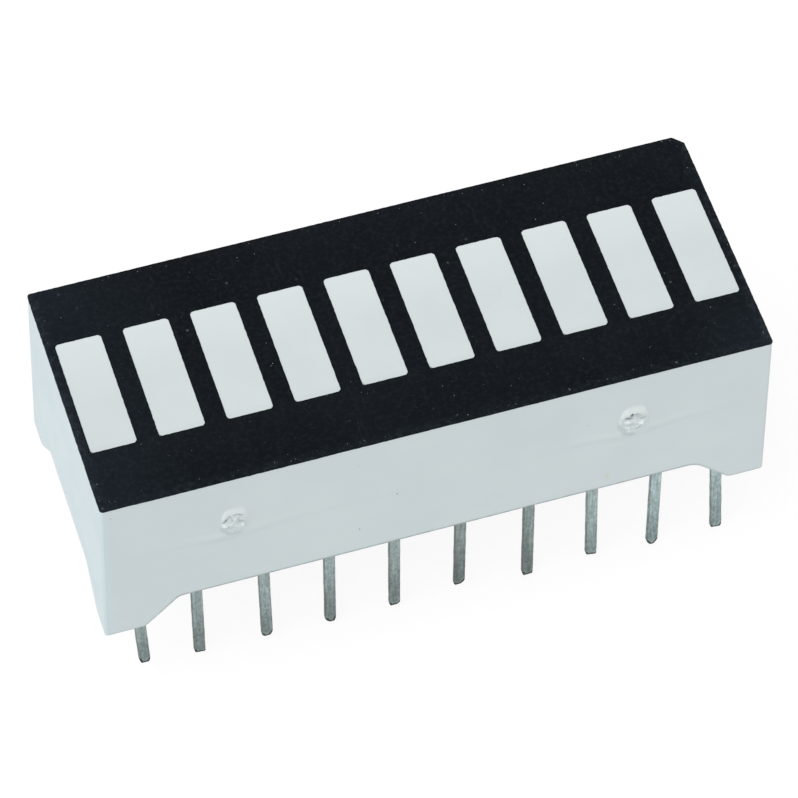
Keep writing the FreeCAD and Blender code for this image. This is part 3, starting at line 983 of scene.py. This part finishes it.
# How each column's pins end, from the left: run and rise of the cut at the left and the right
# corner, slant between them, shoulder taken off the right side up at the foot (millimetres),
# and how bright and bluish the tin is, from 0 to 1
PinEnd = namedtuple("PinEnd", "left_run left_rise right_run right_rise slant shoulder cast")
PIN_ENDS = (
    PinEnd(0.11, 0.27, 0.08, 0.2, 0, 0, 0.68),
    PinEnd(0.06, 0.12, 0.04, 0.05, 0.05, 0, 0.44),
    PinEnd(0.13, 0.14, 0.15, 0.24, 0, 0, 0.6),
    PinEnd(0.22, 0.26, 0.09, 0.25, 0, 0, 0.48),
    PinEnd(0.06, 0.12, 0.16, 0.14, 0, 0, 0.46),
    PinEnd(0.05, 0.06, 0.2, 0.2, 0, 0, 0.18),
    PinEnd(0.07, 0.17, 0.04, 0.1, 0, 0, 0.26),
    PinEnd(0.05, 0.06, 0.05, 0.1, 0.13, 0, 0.84),
    PinEnd(0.17, 0.24, 0.19, 0.3, 0, 0, 0.92),
    PinEnd(0.05, 0.05, 0.07, 0.16, 0.05, 0.08, 1),
)

# Pins: height over which a cut's shape fades out, how far down the shoulder starts and over what
# height, where the painted shade towards the tips begins, and the radius of the long edges
CUT_FADE = 1.2 * MM
SHOULDER_DROP = 0.55 * MM
SHOULDER_RISE = 0.12 * MM
SHADE_BELOW = 0.5 * MM
PIN_EDGE_RADIUS = 0.055 * MM

# Rings of a pin: heights above the cut in millimetres, and the spacing of those further up, of
# which the first few are left out
CUT_LEVELS = (0.0, 0.01, 0.025, 0.045, 0.07, 0.1, 0.13, 0.17, 0.22, 0.29)
RING_STEP = 0.09 * MM
LEFT_OUT = 5


def pin_outline(half_x, half_y):
    """Points and directions round a pin's section, the same number at every height."""
    inner_x = half_x - PIN_EDGE_RADIUS
    inner_y = half_y - PIN_EDGE_RADIUS
    found = []
    for corner, (sx, sy) in enumerate(CORNERS):
        found += corner_arc(Vector((sx * inner_x, sy * inner_y)), PIN_EDGE_RADIUS, corner, 3)
        point, outward = found[-1]
        run = Vector((0, -2 * sy * inner_y))
        parts = 2
        if sx == sy:
            run = Vector((-2 * sx * inner_x, 0))
            parts = 8
        found += [(point + run * part / parts, outward) for part in range(1, parts)]
    return found


def cut_height(end, across, half_x):
    """How far a pin's cut lies above its tip, at a distance across from the middle."""
    from_left = max(half_x + across, 0.0) / MM
    from_right = max(half_x - across, 0.0) / MM
    left = end.left_rise * max(1 - from_left / end.left_run, 0.0) ** 1.5
    right = end.right_rise * max(1 - from_right / end.right_run, 0.0) ** 1.5
    slant = end.slant * (from_right / (from_left + from_right) - 0.6)
    return (left + right + slant) * MM


def cut_distance(end, across, up, half_x):
    """Distance of a point near a pin's tip from the edge of the cut, along the face."""
    spots = [half_x * (i / 10 - 1) for i in range(21)]
    return min(math.hypot(across - spot, up - cut_height(end, spot, half_x)) for spot in spots)


def tinned_pin(number, material):
    """A flat pin with rounded edges, small waves in its tin and a cut tip."""
    name = f"pin_{number:02d}"
    column = SEGMENTS - number if number <= SEGMENTS else number - SEGMENTS - 1
    end = PIN_ENDS[column]
    levels = pin_levels(name)
    tip = levels[0][0]
    top = levels[-1][0]
    half = levels[-1][2]
    mesh = bmesh.new()
    layers = mesh.verts.layers.float
    side_shade = layers.new("side_shade")
    above_cut = layers.new("above_cut")
    along = layers.new("along")
    cast = layers.new("cast")

    def section(level):
        fade = 1 - smooth_step(level / CUT_FADE)
        height = tip + level
        nearby = [pin_centre(levels, height + dz * MM) for dz in (-0.5, -0.25, 0, 0.25, 0.5)]
        centre = sum(nearby, Vector((0, 0))) / len(nearby)
        half_y = half.y - 0.015 * MM * (1 - smooth_step(level / (0.05 * MM)))
        verts = []
        for point, outward in pin_outline(half.x, half_y):
            up = level + fade * cut_height(end, point.x, half.x)
            here = Vector((centre.x + point.x, centre.y + point.y, tip + up))
            seed = Vector((number * 3.7, 0, 0))
            swell = noise.noise(here / (0.5 * MM) + seed)
            ripple = noise.noise(here / (0.17 * MM) + seed)
            shift = (0.008 * swell + 0.004 * ripple - 0.009) * MM
            here.x += outward.x * shift
            here.y += outward.y * shift
            if point.x > 0:
                rise = smooth_step((here.z + SHOULDER_DROP) / SHOULDER_RISE)
                here.x -= rise * end.shoulder * MM * point.x / half.x
            vert = mesh.verts.new(here)
            off = cut_distance(end, point.x, up, half.x) if level < 0.3 * MM else level
            # Weights for painted shade on the sides, towards the tip and near the cut, and for a
            # painted highlight above it
            vert[side_shade] = smooth_step((abs(point.x) - half.x + 0.045 * MM) / (0.04 * MM))
            vert[above_cut] = off / MM + 0.025 * noise.noise(here / (0.09 * MM))
            vert[along] = min(max((SHADE_BELOW - here.z) / (SHADE_BELOW - tip), 0.0), 1.0)
            vert[cast] = end.cast
            verts.append(vert)
        return verts

    parts = int((top - tip) / RING_STEP)
    rings = [section(level * MM) for level in CUT_LEVELS]
    rings += [section((top - tip) * part / parts) for part in range(LEFT_OUT, parts + 1)]
    for lower, upper in zip(rings, rings[1:]):
        bridge(mesh, lower, upper)
    mesh.faces.new(rings[-1])

    # The cut face, in strips from rear to front
    cut = rings[0]
    for i in range(4, 20):
        across = (cut[i], cut[i + 1], cut[7 - i], cut[8 - i])
        mesh.faces.new(list(dict.fromkeys(across)))
    new_piece(f"tinned_{name}", mesh, material, 50, [name])


def seal_collars(material):
    """Resin drawn up each pin where it leaves the poured back."""
    mesh = bmesh.new()
    around = 28
    steps = 5
    for number in range(1, PINS + 1):
        levels = pin_levels(f"pin_{number:02d}")
        centre = pin_centre(levels, SEAL_LEVEL)
        half = levels[-1][2]
        loops = []
        for step in range(steps + 1):
            rise = math.pi / 2 * step / steps
            spread = COLLAR_SPREAD * (1 - math.sin(rise)) + COLLAR_GAP
            drop = COLLAR_DROP * (1 - math.cos(rise))
            loop = []
            for i in range(around):
                angle = 2 * math.pi * i / around
                reach = Vector((math.cos(angle), math.sin(angle)))
                size = min(half.x / max(abs(reach.x), 1e-6), half.y / max(abs(reach.y), 1e-6))
                point = centre + reach * (size + spread)
                loop.append(mesh.verts.new((point.x, point.y, SEAL_LEVEL + COLLAR_SUNK - drop)))
            loops.append(loop)
        for lower, upper in zip(loops, loops[1:]):
            bridge(mesh, lower, upper)
        mesh.faces.new(loops[0])
        mesh.faces.new(loops[-1])
    new_piece("seal_collars", mesh, material, 50)


def dust_specks(material):
    """Crumbs of dust scattered on the black face, clear of the windows."""
    dice = random.Random(DUST_SEED)
    noise.seed_set(DUST_SEED)
    mesh = bmesh.new()
    edge_x = face_high.x - DUST_MARGIN
    edge_y = face_high.y - DUST_MARGIN

    def on_window(x, y):
        return any(
            low.x - DUST_MARGIN < x < high.x + DUST_MARGIN
            and low.y - DUST_MARGIN < y < high.y + DUST_MARGIN
            for low, high in WINDOWS
        )

    placed = 0
    while placed < DUST_COUNT:
        x = dice.uniform(-edge_x, edge_x)
        y = dice.uniform(-edge_y, edge_y)
        if placed % 3 == 0:
            y = math.copysign(edge_y - dice.uniform(0, DUST_BAND) * MM, y)
        elif placed % 5 == 1:
            x = math.copysign(edge_x - dice.uniform(0, DUST_BAND) * MM, x)
        on_chamfer = x + y > face_high.x + face_high.y - INDEX_CHAMFER - 2 * DUST_MARGIN
        if on_chamfer or on_window(x, y):
            continue
        size = dice.choice(DUST_SIZES) * MM
        stretch = dice.uniform(1.0, 2.2)
        turn = dice.uniform(0, math.pi)
        matrix = (
            Matrix.Translation((x, y, FACE_TOP - size * 0.35))
            @ Matrix.Rotation(turn, 4, "Z")
            @ Matrix.Diagonal((size * stretch, size, size * 0.5, 1.0))
        )
        made = bmesh.ops.create_icosphere(mesh, subdivisions=1, radius=1.0, matrix=matrix)
        for vert in made["verts"]:
            jitter = noise.noise_vector(vert.co / (0.02 * MM)) * size * 0.3
            vert.co += Vector((jitter.x, jitter.y, 0))
            vert.co.z = min(vert.co.z, FACE_TOP + 0.008 * MM)
        placed += 1
    new_piece("face_dust", mesh, material, 60)


def paint_nodes(start, material):
    """Gives a material to the frame's nodes whose names start like this."""
    for name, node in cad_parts.items():
        if name.startswith(start):
            paint(node, material)


def dress_object():
    """Materials on the frame's nodes, and the pieces that stand for some of them."""
    softened_housing(moulded_white())
    printed_coat(black_ink())
    dust_specks(pale_dust())
    paint_nodes("circuit_board", board_laminate())
    paint_nodes("board_tracks", etched_copper())
    paint_nodes("solder_joints", reflowed_solder())
    paint_nodes("segment_lens", diffused_resin())
    paint_nodes("led_chip", chip_crystal())
    paint_nodes("bond_wire", drawn_gold())
    potting = potting_resin()
    paint_nodes("back_sealant", potting)
    seal_collars(potting)
    tin = dull_tin()
    for number in range(1, PINS + 1):
        tinned_pin(number, tin)


def floor_surface():
    """Pale floor that shows white and keeps a faint shadow of the object."""
    tree = Tree("pale_floor")
    pale = tree.add("ShaderNodeBsdfDiffuse", {"Color": (0.86, 0.865, 0.87, 1.0)})
    shaded = tree.add("ShaderNodeBsdfDiffuse", {"Color": FLOOR_SHADE})
    white = tree.add("ShaderNodeEmission", {"Color": (1.0, 1.0, 1.0, 1.0), "Strength": FLOOR_GLOW})
    seen = tree.add("ShaderNodeAddShader", {0: shaded.outputs[0], 1: white.outputs[0]})
    mixed = tree.add("ShaderNodeMixShader", {0: tree.shown(), 1: pale.outputs[0], 2: seen.outputs[0]})
    tree.add("ShaderNodeOutputMaterial", {"Surface": mixed.outputs[0]})
    return tree.owner


def lay_floor():
    """Floor under the pins' lowest tip."""
    mesh = bmesh.new()
    level = Matrix.Translation((0, 0, cad_box[0].z - 0.001 * MM))
    bmesh.ops.create_grid(mesh, x_segments=8, y_segments=8, size=FLOOR_HALF_SIZE, matrix=level)
    floor = built("floor", mesh, floor_surface())


def aimed(name, data, place, back):
    """A camera or a lamp at a place, turned away from the direction back."""
    thing = bpy.data.objects.new(name, data)
    thing.rotation_mode = "QUATERNION"
    thing.location = place
    thing.rotation_quaternion = (-back).to_track_quat("-Z", "Y")
    bpy.context.scene.collection.objects.link(thing)
    return thing


def light_scene():
    """Even sky that shows white, and one broad soft sun."""
    tree = Tree("sky", bpy.data.worlds)
    level = tree.add("ShaderNodeMapRange", {"Value": tree.shown(), "To Min": SKY_LEVEL})
    inputs = {"Color": (1.0, 1.0, 1.0, 1.0), "Strength": level.outputs["Result"]}
    sky = tree.add("ShaderNodeBackground", inputs)
    tree.add("ShaderNodeOutputWorld", {"Surface": sky.outputs[0]})
    bpy.context.scene.world = tree.owner

    lamp = bpy.data.lights.new("soft_sun", "SUN")
    lamp.energy = SUN_LEVEL
    lamp.angle = math.radians(SUN_ANGLE)
    aimed("soft_sun", lamp, SUN_FROM, SUN_FROM)


def place_camera():
    """Camera at the photo's angle, distance and framing."""
    azimuth = math.radians(CAMERA_AZIMUTH)
    elevation = math.radians(CAMERA_ELEVATION)
    level = math.cos(elevation)
    back = Vector((math.sin(azimuth) * level, -math.cos(azimuth) * level, math.sin(elevation)))
    data = bpy.data.cameras.new("camera")
    data.lens = CAMERA_LENS
    data.sensor_width = SENSOR_WIDTH
    data.clip_start = 0.01
    data.clip_end = 10.0
    camera = aimed("camera", data, CAMERA_AIM + back * CAMERA_DISTANCE, back)
    bpy.context.scene.camera = camera


bpy.context.scene.view_settings.view_transform = "Standard"
place_camera()
light_scene()
lay_floor()
dress_object()
